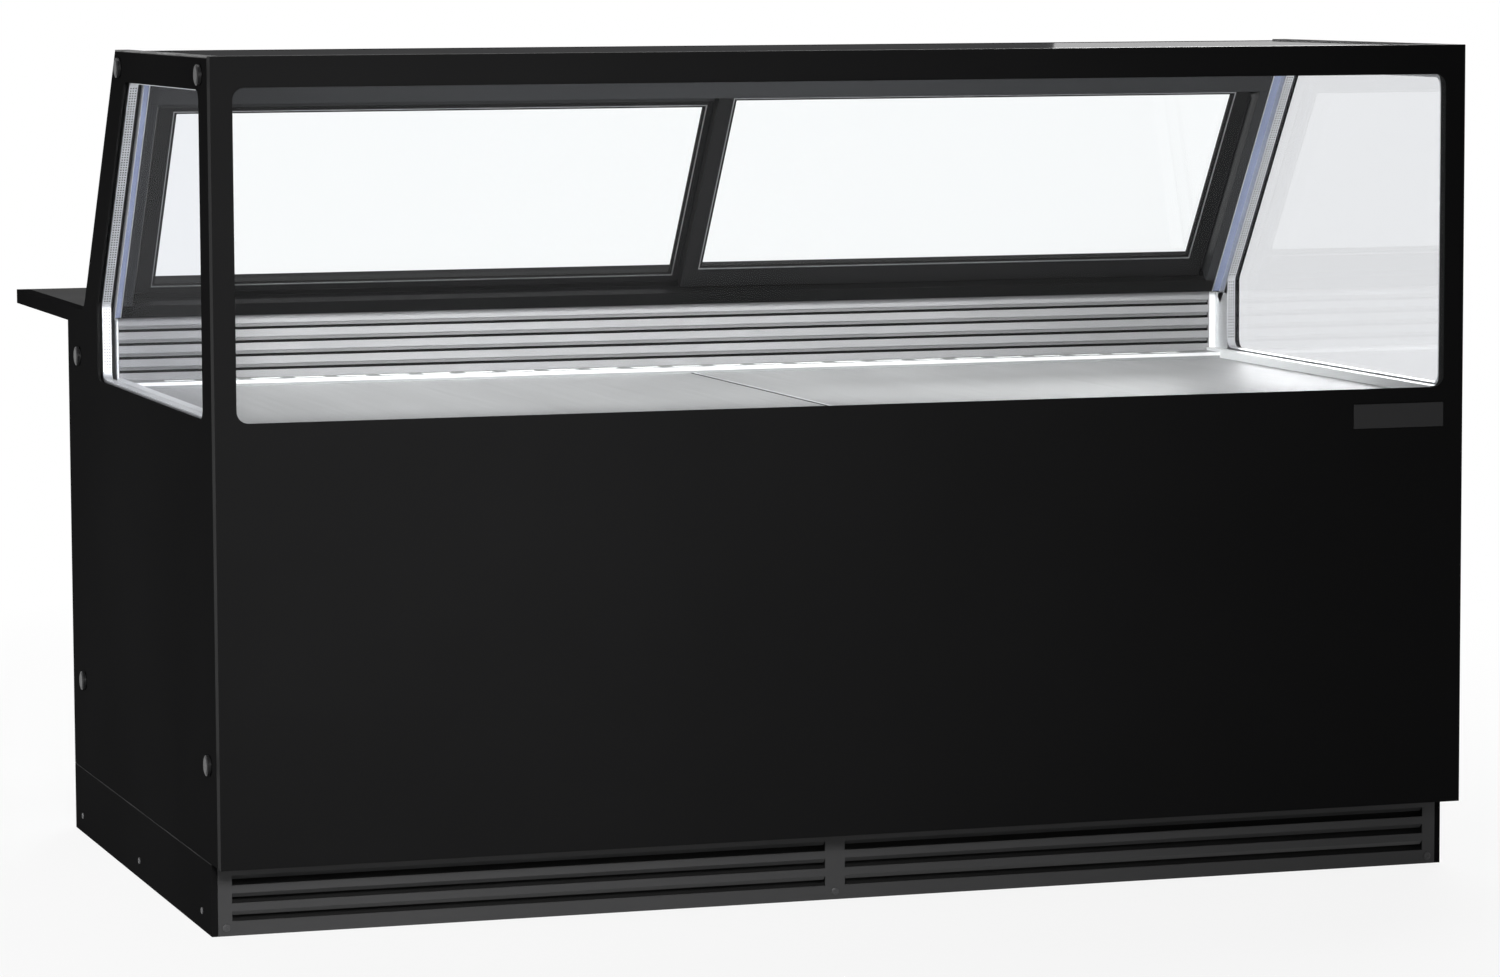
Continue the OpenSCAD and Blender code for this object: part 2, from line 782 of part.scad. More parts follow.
// White ledges at the sides, slotted shelf at the rear and flange under the plates
module deck_surround() {
    low = deck_z - liner_t;
    ledge = inner_x - side_ledge;
    slots = floor((2 * ledge - 40) / return_pitch);
    color([0.92, 0.93, 0.94]) {
        difference() {
            box([-inner_x, frame_y, foam_top + liner_t], [inner_x, grille_y, low]);
            box([-tank_x + 6, tank_y0 + 6, 0], [tank_x - 6, grille_y + 1, low + 1]);
        }
        both_sides() {
            box([ledge, frame_y, low], [ledge + liner_t, grille_y - 1, window_z]);
            box([ledge, frame_y, window_z - liner_t], [inner_x, grille_y - 1, window_z]);
        }
        box([-ledge, deck_rear + 1, foam_top + liner_t],
            [ledge, deck_rear + 1 + liner_t, deck_z + 8]);
        difference() {
            box([-ledge, deck_rear + 1, deck_z + 8], [ledge, grille_y - 0.5, deck_z + 8 + liner_t]);
            for (i = [0:slots - 1])
                translate([(i - (slots - 1) / 2) * return_pitch, 0, 0])
                    box([-return_slot / 2, deck_rear + 16, deck_z],
                        [return_slot / 2, grille_y - 20, deck_z + 12]);
        }
    }
}

// Steel cover over half of the well, with a stiffening fold beneath
module deck_plate() {
    x0 = deck_seam / 2;
    x1 = inner_x - side_ledge - 1;
    fold = [tank_x - 16, 22];
    color([0.7, 0.7, 0.7]) {
        box([x0, frame_y + 8, deck_z - liner_t], [x1, deck_rear, deck_z]);
        difference() {
            box([30, tank_y0 + 16, deck_z - fold.y], [fold.x, deck_rear - 12, deck_z - liner_t]);
            box([30 + liner_t, tank_y0 + 16 + liner_t, deck_z - fold.y - 1],
                [fold.x - liner_t, deck_rear - 12 - liner_t, deck_z - liner_t]);
        }
    }
}

module left_deck_plate() {
    mirror([1, 0, 0]) deck_plate();
}

module right_deck_plate() {
    deck_plate();
}

// ---------- cold well ----------

// Steel liner of five sheets, open at the top, with flanges on the foam and a drain hole
module inner_tank() {
    x1 = tank_x - liner_t - loose_gap;
    color([0.72, 0.73, 0.74]) {
        both_sides() {
            box([tank_x - liner_t, tank_y0, well_floor], [tank_x, tank_y1, foam_top]);
            box([tank_x - liner_t, tank_y0 - 25, foam_top],
                [tank_x + 25, grille_y, foam_top + liner_t]);
        }
        box([-x1, tank_y0, well_floor], [x1, tank_y0 + liner_t, foam_top]);
        box([-x1, tank_y0 - 25, foam_top], [x1, tank_y0 + liner_t, foam_top + liner_t]);
        box([-x1, tank_y1 - liner_t, well_floor], [x1, tank_y1, foam_top]);
        difference() {
            box([-x1, tank_y0 + liner_t + loose_gap, well_floor],
                [x1, tank_y1 - liner_t - loose_gap, well_floor + liner_t]);
            rod([drain_x, drain_y, well_floor - 1], drain_r + hole_gap, 10, "z");
        }
    }
}

// Foam boards between the liner and the outer panels, with fine joints
module foam_insulation() {
    x1 = tank_x - loose_gap;
    low = well_floor + loose_gap;
    color([0.9, 0.85, 0.6]) {
        difference() {
            box([-inner_x, frame_y, foam_floor], [inner_x, rear_y, well_floor]);
            rod([drain_x, drain_y, foam_floor - 1], drain_r + hole_gap, foam_t + 2, "z");
        }
        box([-inner_x, frame_y, low], [inner_x, tank_y0, foam_top]);
        both_sides() {
            box([tank_x, tank_y0 + loose_gap, low], [inner_x, rear_y, foam_top]);
            box([tank_x, grille_y + 30, foam_top + loose_gap], [inner_x, rear_y, roof_z]);
        }
        box([-x1, tank_y1, low], [x1, rear_y, roof_z]);
        box([-x1, slope_y(worktop_z, 0) - 6, roof_z - foam_t + 10],
            [x1, tank_y1 - loose_gap, roof_z]);
    }
}

// Loose cross rails that hold the tubs, the ledges they lie on, and the plates' centre beam
module tub_rails() {
    y0 = tank_y0 + liner_t;
    y1 = partition_y;
    z0 = tub_rail_z + loose_gap;
    x1 = tank_x - liner_t;
    rails = floor((x1 - 15) / tub_rail_pitch);
    color("silver") {
        for (i = [-rails:rails])
            translate([i * tub_rail_pitch, 0, 0]) difference() {
                box([-12, y0, z0], [12, y1, z0 + 14]);
                box([-10, y0 - 1, z0 - 1], [10, y1 + 1, z0 + 12]);
            }
        for (y = [y0, y1 - 14])
            box([-x1, y, tub_rail_z - 3], [x1, y + 14, tub_rail_z]);
        box([-18, y0, deck_z - 20], [18, y1, foam_top]);
        box([-18, tank_y0 + 6.5, deck_z - 20], [18, deck_rear + 0.5, deck_z - liner_t]);
    }
}

// Upright sheet before the evaporator, with a round opening for each fan
module fan_partition() {
    color([0.75, 0.75, 0.76]) {
        difference() {
            box([-tank_x + liner_t, partition_y, well_floor + liner_t],
                [tank_x - liner_t, partition_y + liner_t, foam_top]);
            for (x = [-evaporator_fan_x, evaporator_fan_x])
                rod([x, partition_y - 1, evaporator_fan_z], evaporator_fan_r + 4, 4, "y");
        }
        for (x = [-evaporator_fan_x, evaporator_fan_x])
            translate([x, partition_y + liner_t, evaporator_fan_z]) {
                difference() {
                    for (t = [0, 90])
                        rotate([0, t, 0])
                            box([-evaporator_fan_r - 14, 24, -3], [evaporator_fan_r + 14, 26, 3]);
                    rod([0, 20, 0], stem_r + hole_gap, 10, "y");
                }
                for (t = [0:90:270])
                    rotate([0, t, 0])
                        box([evaporator_fan_r + 8, 0, -3], [evaporator_fan_r + 14, 26, 3]);
            }
    }
}

// Finned block with its end plates and return bends
module evaporator_coil() {
    x1 = tank_x - 90;
    y0 = partition_y + 70;
    depth = 90;
    z0 = well_floor + 30;
    rows = 5;
    fins = 40;
    pitch = (2 * x1 - 6) / fins;
    color([0.8, 0.8, 0.82]) {
        difference() {
            box([-x1, y0, z0], [x1, y0 + depth, z0 + 190]);
            for (i = [0:fins - 1])
                box([-x1 + i * pitch + 6, y0 - 1, z0 + 12],
                    [-x1 + (i + 1) * pitch, y0 + depth + 1, z0 + 178]);
        }
        for (x = [-x1 + 20, x1 - 24])
            box([x, y0 + 10, well_floor + liner_t], [x + 4, y0 + depth - 10, z0]);
    }
    color([0.75, 0.45, 0.25]) both_sides() for (i = [0:rows - 1])
        translate([x1, y0 + 25, z0 + 20 + i * 36])
            difference() {
                translate([0, 20, 0]) rotate_extrude() translate([20, 0]) circle(5);
                translate([-40, -30, -10]) cube([40, 90, 20]);
            }
}

module evaporator_fan_motors() {
    y = partition_y + liner_t;
    color([0.3, 0.3, 0.32]) for (x = [-evaporator_fan_x, evaporator_fan_x]) {
        rod([x, y + 26, evaporator_fan_z], 26, 24, "y");
        rod([x, y + 5, evaporator_fan_z], stem_r, 21, "y");
    }
}

// Axial rotor about Y: a hub with a shaft bore and pitched blades
module rotor(r, hub_r, depth, bore_r, blades) {
    difference() {
        union() {
            rod([0, 0, 0], hub_r, depth, "y");
            intersection() {
                for (i = [0:blades - 1])
                    rotate([0, i * 360 / blades, 0]) translate([0, depth / 2, 0])
                        rotate([0, 0, 32]) box([-hub_r * 0.8, -1, 0], [hub_r * 0.8, 1, r]);
                ring([0, 0.5, 0], hub_r - 2, r, depth - 1, "y");
            }
        }
        rod([0, -1, 0], bore_r, depth + 2, "y");
    }
}

module evaporator_fan(x) {
    color([0.2, 0.2, 0.2])
        translate([x, partition_y + liner_t + 4, evaporator_fan_z])
            rotor(evaporator_fan_r, 22, 19, stem_r + 0.05, 5);
}

module left_evaporator_fan() {
    evaporator_fan(-evaporator_fan_x);
}

module right_evaporator_fan() {
    evaporator_fan(evaporator_fan_x);
}

// ---------- drain ----------

// Drain from the liner's floor, down and out through the rear panel to a ball valve
module drain_pipe() {
    color([0.6, 0.6, 0.62]) difference() {
        union() {
            rod([drain_x, drain_y, drain_z], drain_r, well_floor - drain_z, "z");
            translate([drain_x, drain_y, drain_z]) sphere(drain_r);
            rod([drain_x, drain_y, drain_z], drain_r, valve_y + 60 - drain_y, "y");
            rod([drain_x, valve_y - 16, drain_z], 20, 32, "y");
            rod([drain_x, valve_y, drain_z], 7, 30, "z");
        }
        rod([drain_x, drain_y, drain_z], drain_r - 3, well_floor, "z");
        rod([drain_x, drain_y, drain_z], drain_r - 3, 400 + valve_y, "y");
    }
}

// Lever on the valve's stem
module drain_valve_lever() {
    color("firebrick") difference() {
        union() {
            rod([drain_x, valve_y, drain_z + 22], 12, 6, "z");
            box([drain_x - 8, valve_y, drain_z + 24], [drain_x + 8, valve_y + 80, drain_z + 28]);
        }
        rod([drain_x, valve_y, drain_z], 7.05, 60, "z");
    }
}

// ---------- worktop and rear ----------

// Folded worktop between the tails of the side panels
module worktop() {
    y0 = slope_y(worktop_z, 0) + 1;
    x = half_w - tray_d;
    color([0.06, 0.06, 0.06]) {
        difference() {
            box([-x, y0, roof_z], [x, worktop_d, worktop_z]);
            box([-x + sheet_t, y0 + sheet_t, roof_z - 1],
                [x - sheet_t, worktop_d - sheet_t, worktop_z - sheet_t]);
        }
        for (i = [-1:1])
            box([i * 500 - 15, y0 + sheet_t, roof_z],
                [i * 500 + 15, worktop_d - sheet_t, worktop_z - sheet_t]);
    }
}

// Gusseted brackets under the overhang
module worktop_brackets() {
    color([0.12, 0.12, 0.12]) for (x = [-500, 500]) {
        box([x - 20, body_d, roof_z - 240], [x + 20, body_d + 4, roof_z]);
        box([x - 20, body_d, roof_z - 4], [x + 20, worktop_d - 90, roof_z]);
        slab_x(x - 2, x + 2) polygon([[body_d + 4, roof_z - 240], [worktop_d - 90, roof_z - 20],
            [worktop_d - 90, roof_z - 4], [body_d + 4, roof_z - 4]]);
    }
}

// Rear service panel with louvred air slots and the openings for drain, gland and controls
module rear_panel() {
    x = half_w - tray_d;
    hoods = [for (i = [0:6]) plinth_h + 70 + i * 32];
    color([0.1, 0.1, 0.1]) difference() {
        union() {
            box([-x, rear_y, plinth_h], [x, body_d, roof_z]);
            for (z = hoods, s = [-1, 1])
                box([s * 520 - 200, body_d, z], [s * 520 + 200, body_d + 6, z + 4]);
        }
        for (z = hoods, s = [-1, 1])
            box([s * 520 - 198, rear_y - 1, z - 12], [s * 520 + 198, body_d + 1, z]);
        rod([drain_x, rear_y - 1, drain_z], drain_r + 2, 20, "y");
        rod([gland_x, rear_y - 1, gland_z], gland_shank_r + hole_gap, 20, "y");
    }
}

// Folded control box under the worktop
module control_panel() {
    y = controls_y;
    z = controls_z;
    color([0.15, 0.15, 0.15]) difference() {
        box([-180, body_d, z - 38], [180, y, z + 38]);
        box([-180 + sheet_t, body_d - 1, z - 38 + sheet_t], [180 - sheet_t, y - sheet_t, z + 38 - sheet_t]);
        box([-110 - hole_gap, y - 10, z - 16 - hole_gap], [-30 + hole_gap, y + 10, z + 16 + hole_gap]);
        for (x = rocker_x)
            box([x - 11.5, y - 10, z - 11.4], [x + 11.5, y + 10, z + 11.4]);
    }
}

// Thermostat with a bare display window
module temperature_controller() {
    y = controls_y;
    z = controls_z;
    color([0.05, 0.05, 0.05]) difference() {
        union() {
            box([-110, y - 50, z - 16], [-30, y, z + 16]);
            box([-114, y, z - 20], [-26, y + 4, z + 20]);
        }
        box([-106, y + 2.5, z - 12], [-62, y + 5, z + 12]);
    }
}

// Rocker that tips about a pin along X, with its lower half pressed
module rocker(x) {
    translate([x, controls_y - 2, controls_z]) rotate([-rocker_tip, 0, 0]) intersection() {
        rod([-11, 0, 0], 11, 22, "x");
        union() {
            translate([-11, -8, -9]) cube([22, 11, 5]);
            translate([-11, -8, -7]) cube([22, 12, 14]);
            translate([-11, -8, 4]) cube([22, 11, 5]);
        }
    }
}

module main_switch_rocker() {
    color("green") rocker(rocker_x[0]);
}

module lamp_switch_rocker() {
    color([0.9, 0.9, 0.9]) rocker(rocker_x[1]);
}

module cable_gland() {
    color("black") difference() {
        union() {
            rod([gland_x, rear_y - 10, gland_z], gland_shank_r, 14 + sheet_t, "y");
            rod([gland_x, body_d, gland_z], 15, 8, "y", $fn = 6);
            rod([gland_x, body_d + 8, gland_z], 12, 14, "y");
        }
        rod([gland_x, rear_y - 12, gland_z], gland_bore_r, 60, "y");
    }
}

// ---------- machine space ----------

module machine_tray() {
    color("gray") difference() {
        box([-inner_x, base_front, plinth_h], [inner_x, rear_y, machine_floor]);
        box([-600, base_front + 30, 0], [600, coil_y - 5, plinth_h + 10]);
        for (x = [-inner_x - 1, inner_x - tube - 0.5], y = [base_front - 1, rear_y - tube - 0.5])
            box([x, y, 0], [x + tube + 1.5, y + tube + 1.5, plinth_h + 10]);
    }
}

// Hermetic shell on rubber-footed brackets
module compressor() {
    color([0.1, 0.1, 0.1]) translate([-300, 700, machine_floor]) {
        translate([0, 0, 30]) cylinder(r = 85, h = 110);
        translate([0, 0, 140]) cylinder(r1 = 85, r2 = 50, h = 30);
        translate([0, 0, 16]) cylinder(r1 = 60, r2 = 85, h = 14);
        translate([-110, -75, 12]) cube([220, 150, 5]);
        for (x = [-95, 95], y = [-60, 60])
            translate([x, y, 0]) cylinder(r = 12, h = 12);
        translate([80, -30, 60]) cube([25, 60, 60]);
    }
}

// Block of upright fins between two headers
module condenser_coil() {
    w = coil_half_w;
    fins = 13;
    pitch = (2 * w - 5) / (fins - 1);
    color([0.7, 0.7, 0.72]) translate([condenser_x - w, coil_y, machine_floor]) difference() {
        cube([2 * w, coil_d, coil_h]);
        for (i = [0:fins - 2])
            box([i * pitch + 5, -1, 14], [(i + 1) * pitch, coil_d + 1, coil_h - 14]);
    }
}

// Sheet shroud behind the coil, with the three arms of the motor's mount
module condenser_shroud() {
    w = coil_half_w;
    depth = 50;
    color([0.15, 0.15, 0.15]) translate([condenser_x, shroud_y, machine_floor]) {
        difference() {
            box([-w, 0, 0], [w, depth, coil_h]);
            box([-w + sheet_t, -1, sheet_t], [w - sheet_t, depth - sheet_t, coil_h - sheet_t]);
            rod([0, depth - 10, coil_h / 2], condenser_fan_r - 5, 20, "y");
        }
        for (t = [0:120:240])
            translate([0, depth, coil_h / 2]) rotate([0, t, 0])
                box([30, 0, -4], [condenser_fan_r + 2, 4, 4]);
        ring([0, depth, coil_h / 2], 24, 32, 4, "y");
    }
}

module condenser_fan_motor() {
    color([0.25, 0.25, 0.27]) {
        rod([condenser_x, shroud_y + 54, condenser_fan_z], 40, 60, "y");
        rod([condenser_x, shroud_y + 20, condenser_fan_z], 4, 34, "y");
    }
}

module condenser_fan() {
    color([0.8, 0.8, 0.8]) translate([condenser_x, shroud_y + 16, condenser_fan_z])
        rotor(condenser_fan_r - 12, 30, 24, 4.05, 5);
}

// Suction and liquid lines between compressor, condenser and evaporator, with the drier
module refrigerant_pipes() {
    z = machine_floor + 72;
    y = coil_y + coil_d / 2;
    color([0.75, 0.45, 0.25]) {
        rod([-200, 640, z], 5, 260, "x");
        translate([60, 640, z]) sphere(5);
        rod([60, y, z], 5, 640 - y, "y");
        translate([60, y, z]) sphere(5);
        rod([60, y, z], 5, condenser_x - coil_half_w - 60, "x");
        rod([-215, 760, z], 6, 60, "x");
        translate([-155, 760, z]) sphere(6);
        rod([-155, 760, z], 6, foam_floor - z, "z");
    }
    color([0.7, 0.4, 0.2]) rod([-20, 640, z], 14, 70, "x");
}

place() base_frame();
place() levelling_feet();
place() front_plinth_grille();
place() plinth_side_panels();
place() rear_plinth_panel();
place() plinth_screws();
place() front_panel();
place() badge_plate();
place() left_side_panel();
place() right_side_panel();
place() side_panel_caps();
place() front_glass();
place() front_glass_seal();
place() side_glass_frames();
place() left_side_glass();
place() right_side_glass();
place() side_glass_spacers();
place() side_glass_seals();
place() top_frame();
place() top_glass();
place() lamp_housing();
place() lamp_diffuser();
place() door_frame_head();
place() door_frame_jambs();
place() door_frame_sill();
place() left_door_frame();
place() left_door_glass();
place() right_door_frame();
place() right_door_glass();
place() left_door_pull();
place() right_door_pull();
place() rear_air_grille();
place() deck_surround();
place() left_deck_plate();
place() right_deck_plate();
place() inner_tank();
place() foam_insulation();
place() tub_rails();
place() fan_partition();
place() evaporator_coil();
place() evaporator_fan_motors();
place() left_evaporator_fan();
place() right_evaporator_fan();
place() drain_pipe();
place() drain_valve_lever();
place() worktop();
place() worktop_brackets();
place() rear_panel();
place() control_panel();
place() temperature_controller();
place() main_switch_rocker();
place() lamp_switch_rocker();
place() machine_tray();
place() compressor();
place() condenser_coil();
place() condenser_shroud();
place() condenser_fan_motor();
place() condenser_fan();
place() refrigerant_pipes();
place() cable_gland();
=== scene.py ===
import json
import math

import bmesh
import bpy
from mathutils import Matrix, Vector


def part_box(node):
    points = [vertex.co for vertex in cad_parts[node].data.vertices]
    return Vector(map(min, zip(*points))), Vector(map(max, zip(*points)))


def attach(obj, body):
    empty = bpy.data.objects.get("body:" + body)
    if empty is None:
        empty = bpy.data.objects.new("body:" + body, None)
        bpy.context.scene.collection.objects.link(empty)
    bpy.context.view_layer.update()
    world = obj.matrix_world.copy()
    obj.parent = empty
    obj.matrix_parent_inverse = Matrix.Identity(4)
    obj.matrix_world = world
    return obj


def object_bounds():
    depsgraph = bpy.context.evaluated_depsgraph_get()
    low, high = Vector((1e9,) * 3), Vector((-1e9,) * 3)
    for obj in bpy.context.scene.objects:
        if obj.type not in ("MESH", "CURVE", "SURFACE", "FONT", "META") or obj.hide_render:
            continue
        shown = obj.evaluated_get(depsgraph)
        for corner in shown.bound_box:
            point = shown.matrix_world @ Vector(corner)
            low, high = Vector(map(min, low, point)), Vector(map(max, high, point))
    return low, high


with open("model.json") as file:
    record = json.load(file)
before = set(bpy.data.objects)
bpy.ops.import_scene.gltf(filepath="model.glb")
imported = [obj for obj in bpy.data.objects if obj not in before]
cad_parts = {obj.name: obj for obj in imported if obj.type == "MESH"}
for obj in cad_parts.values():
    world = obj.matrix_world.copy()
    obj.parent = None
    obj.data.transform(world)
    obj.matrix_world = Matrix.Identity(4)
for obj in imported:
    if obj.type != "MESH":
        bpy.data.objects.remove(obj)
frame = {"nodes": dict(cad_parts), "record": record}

CAD_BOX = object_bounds()
NODES = frame["nodes"]


# ---------- camera and stage ----------

CAMERA_PLACE = Vector((-2.632, -8.421, 1.437))
CAMERA_AZIMUTH = math.radians(-17.864)
CAMERA_ELEVATION = math.radians(5.633)
CAMERA_ROLL = math.radians(-0.249)
CAMERA_LENS = 127.78


def make_camera():
    back = Vector((math.sin(CAMERA_AZIMUTH) * math.cos(CAMERA_ELEVATION),
                   -math.cos(CAMERA_AZIMUTH) * math.cos(CAMERA_ELEVATION),
                   math.sin(CAMERA_ELEVATION)))
    level = (-back).cross(Vector((0, 0, 1))).normalized()
    upright = level.cross(-back)
    c, s = math.cos(CAMERA_ROLL), math.sin(CAMERA_ROLL)
    right = level * c + upright * s
    up = upright * c - level * s
    data = bpy.data.cameras.new("camera")
    data.lens = CAMERA_LENS
    data.sensor_width = 36
    data.clip_start, data.clip_end = 0.1, 200
    camera = bpy.data.objects.new("camera", data)
    camera.matrix_world = Matrix((right, up, back)).transposed().to_4x4()
    camera.location = CAMERA_PLACE
    bpy.context.scene.collection.objects.link(camera)
    bpy.context.scene.camera = camera


def make_world():
    """White to the camera and through glass, pale in mirrors, and a low light on all else."""
    world = bpy.data.worlds.new("studio")
    bpy.context.scene.world = world
    world.use_nodes = True
    tree = world.node_tree
    tree.nodes.clear()

    def join(kind, first, second):
        made = tree.nodes.new("ShaderNodeMath")
        made.operation = kind
        tree.links.new(first, made.inputs[0])
        tree.links.new(second, made.inputs[1])
        return made.outputs[0]

    where = tree.nodes.new("ShaderNodeTexCoord").outputs["Generated"]
    split = tree.nodes.new("ShaderNodeSeparateXYZ")
    tree.links.new(where, split.inputs[0])
    level = tree.nodes.new("ShaderNodeMapRange")
    level.interpolation_type = "SMOOTHSTEP"
    tree.links.new(split.outputs["Z"], level.inputs["Value"])
    for key, value in (("From Min", -0.2), ("From Max", 0.9),
                       ("To Min", AMBIENT_LOW), ("To Max", AMBIENT_TOP)):
        level.inputs[key].default_value = value
    path = tree.nodes.new("ShaderNodeLightPath").outputs
    seen = join("MAXIMUM", path["Is Camera Ray"], path["Is Transmission Ray"])
    light = tree.nodes.new("ShaderNodeBackground")
    light.inputs["Color"].default_value = (0.8, 0.8, 0.8, 1)
    tree.links.new(join("MAXIMUM", path["Is Glossy Ray"], level.outputs["Result"]),
                   light.inputs["Strength"])
    white = tree.nodes.new("ShaderNodeBackground")
    white.inputs["Color"].default_value = (1, 1, 1, 1)
    mix = tree.nodes.new("ShaderNodeMixShader")
    tree.links.new(seen, mix.inputs[0])
    tree.links.new(light.outputs[0], mix.inputs[1])
    tree.links.new(white.outputs[0], mix.inputs[2])
    out = tree.nodes.new("ShaderNodeOutputWorld")
    tree.links.new(mix.outputs[0], out.inputs["Surface"])


def softbox(name, place, target, size, power, spread=180):
    """An area lamp at place, turned to target, with its size in metres and power in watts."""
    data = bpy.data.lights.new(name, "AREA")
    data.shape = "RECTANGLE"
    data.size, data.size_y = size
    data.energy = power
    data.spread = math.radians(spread)
    lamp = bpy.data.objects.new(name, data)
    lamp.location = place
    lamp.rotation_mode = "QUATERNION"
    lamp.rotation_quaternion = (Vector(target) - Vector(place)).to_track_quat("-Z", "Y")
    bpy.context.scene.collection.objects.link(lamp)


AMBIENT_LOW, AMBIENT_TOP = 0.025, 0.19
make_camera()
make_world()
softbox("key", (-1.6, -4.7, 1.9), (-0.72, -0.8, 0.82), (0.9, 0.9), 14, 45)
softbox("left_fill", (-4.4, -0.9, 1.0), (-1.0, 0.0, 0.4), (1.2, 1.2), 11, 60)
softbox("top", (0.0, 0.9, 4.4), (0, 0.3, 0.8), (3.0, 1.6), 60)
softbox("rear_fill", (3.4, 4.2, 2.4), (0, 0.2, 0.7), (2.5, 2.5), 150)
softbox("rear_low", (1.3, 4.6, 0.75), (0.0, 0.55, 0.40), (1.0, 0.8), 22, 55)
softbox("inside", (0.0, CAD_BOX[0].y + 0.075, 1.262), (0, 0.12, 0.88), (1.88, 0.04), 8, 130)
bpy.context.scene.view_settings.view_transform = "Standard"


# ---------- materials ----------

class Graph:
    """A node material, made one node at a time."""

    def __init__(self, name):
        self.material = bpy.data.materials.new(name)
        self.material.use_nodes = True
        self.tree = self.material.node_tree
        self.tree.nodes.clear()
        self.place = self.node("ShaderNodeTexCoord").outputs["Object"]

    def node(self, kind, inputs=None, **settings):
        made = self.tree.nodes.new(kind)
        for key, value in settings.items():
            setattr(made, key, value)
        for key, value in (inputs or {}).items():
            self.put(made.inputs[key], value)
        return made

    def put(self, socket, value):
        if isinstance(value, bpy.types.NodeSocket):
            self.tree.links.new(value, socket)
        else:
            socket.default_value = value

    def math(self, kind, first, second=0.5):
        return self.node("ShaderNodeMath", {0: first, 1: second}, operation=kind).outputs[0]

    def noise(self, stretch, detail=3, seed=0.0):
        """Noise with so many grains to the metre along X, Y and Z."""
        spread = self.node("ShaderNodeMapping", {"Vector": self.place, "Scale": stretch,
                                                 "Location": (seed, seed * 1.7, seed * 2.3)})
        grain = self.node("ShaderNodeTexNoise", {"Vector": spread.outputs[0], "Scale": 1.0,
                                                 "Detail": detail, "Roughness": 0.55})
        return grain.outputs["Fac"]

    def ramp(self, value, low, high, start=0.3, end=0.7):
        return self.node("ShaderNodeMapRange", {"Value": value, "From Min": start, "From Max": end,
                                                "To Min": low, "To Max": high}).outputs[0]

    def tint(self, value, dark, light, start=0.3, end=0.7):
        """A colour between two, by a value."""
        share = self.ramp(value, 0.0, 1.0, start, end)
        return self.node("ShaderNodeMix", {0: share, 6: (*dark, 1), 7: (*light, 1)},
                         data_type="RGBA").outputs[2]

    def bump(self, value, height, strength=1.0, normal=None):
        inputs = {"Height": value, "Distance": height, "Strength": strength}
        if normal is not None:
            inputs["Normal"] = normal
        return self.node("ShaderNodeBump", inputs).outputs[0]

    def shader(self, **inputs):
        names = {key.replace("_", " "): value for key, value in inputs.items()}
        return self.node("ShaderNodeBsdfPrincipled", names)

    def spot(self):
        """The X, Y and Z of the shaded point, in the shared frame."""
        return self.node("ShaderNodeSeparateXYZ", {0: self.place}).outputs

    def blend(self, share, low, high):
        """A colour between two colour sockets."""
        return self.node("ShaderNodeMix", {0: share, 6: low, 7: high},
                         data_type="RGBA").outputs[2]

    def finish(self, shader):
        out = self.node("ShaderNodeOutputMaterial")
        self.tree.links.new(shader.outputs[0], out.inputs["Surface"])
        return self.material


def scaled(colour, share):
    """A colour made lighter or darker."""
    return tuple(min(1.0, c * share) for c in colour)


def powder_coat(name, colour, rough, shine=0.3, peel=0.00003):
    """Painted sheet: fine orange peel, faint clouds in colour and gloss."""
    g = Graph(name)
    clouds = g.noise((3, 3, 3), 4, 1.3)
    grain = g.noise((420, 420, 420), 2, 4.1)
    return g.finish(g.shader(
        Base_Color=g.tint(clouds, scaled(colour, 0.94), scaled(colour, 1.06)),
        Roughness=g.ramp(clouds, rough - 0.03, rough + 0.03),
        Specular_IOR_Level=shine,
        Normal=g.bump(grain, peel)))


def brushed_metal(name, colour, rough, lines, streak=0.12, grain=0.00001, pull=0.0):
    """Metal with brush lines. lines is how many go to the metre along X, Y and Z."""
    g = Graph(name)
    brush = g.noise(lines, 4, 2.2)
    clouds = g.noise((5, 5, 5), 3, 5.9)
    return g.finish(g.shader(
        Base_Color=g.tint(brush, scaled(colour, 1 - streak), scaled(colour, 1 + streak)),
        Metallic=1.0,
        Roughness=g.ramp(clouds, rough - 0.03, rough + 0.04),
        Anisotropic=pull,
        Normal=g.bump(brush, grain)))


def moulded(name, colour, rough, shine=0.4, grain=300, depth=0.00003):
    """Moulded plastic, rubber or lacquer, with a fine grain."""
    g = Graph(name)
    fine = g.noise((grain, grain, grain), 3, 3.3)
    clouds = g.noise((9, 9, 9), 3, 8.8)
    return g.finish(g.shader(
        Base_Color=g.tint(clouds, scaled(colour, 0.9), scaled(colour, 1.1)),
        Roughness=g.ramp(fine, rough - 0.06, rough + 0.06),
        Specular_IOR_Level=shine,
        Normal=g.bump(fine, depth)))


def pane(name, tint, mirror, rough=0.01):
    """Thin clear glass: a tinted see-through share and a share of mirror that grows edge-on."""
    g = Graph(name)
    film = g.noise((3, 3, 2), 4, 6.1)
    gloss = g.node("ShaderNodeBsdfGlossy", {"Color": (1, 1, 1, 1),
                                            "Roughness": g.ramp(film, rough, rough + 0.02)})
    clear = g.node("ShaderNodeBsdfTransparent", {"Color": (*tint, 1)})
    edge_on = g.node("ShaderNodeFresnel", {"IOR": 1.45}).outputs[0]
    mix = g.node("ShaderNodeMixShader", {0: g.math("MULTIPLY", edge_on, mirror),
                                         1: clear.outputs[0], 2: gloss.outputs[0]})
    return g.finish(mix)


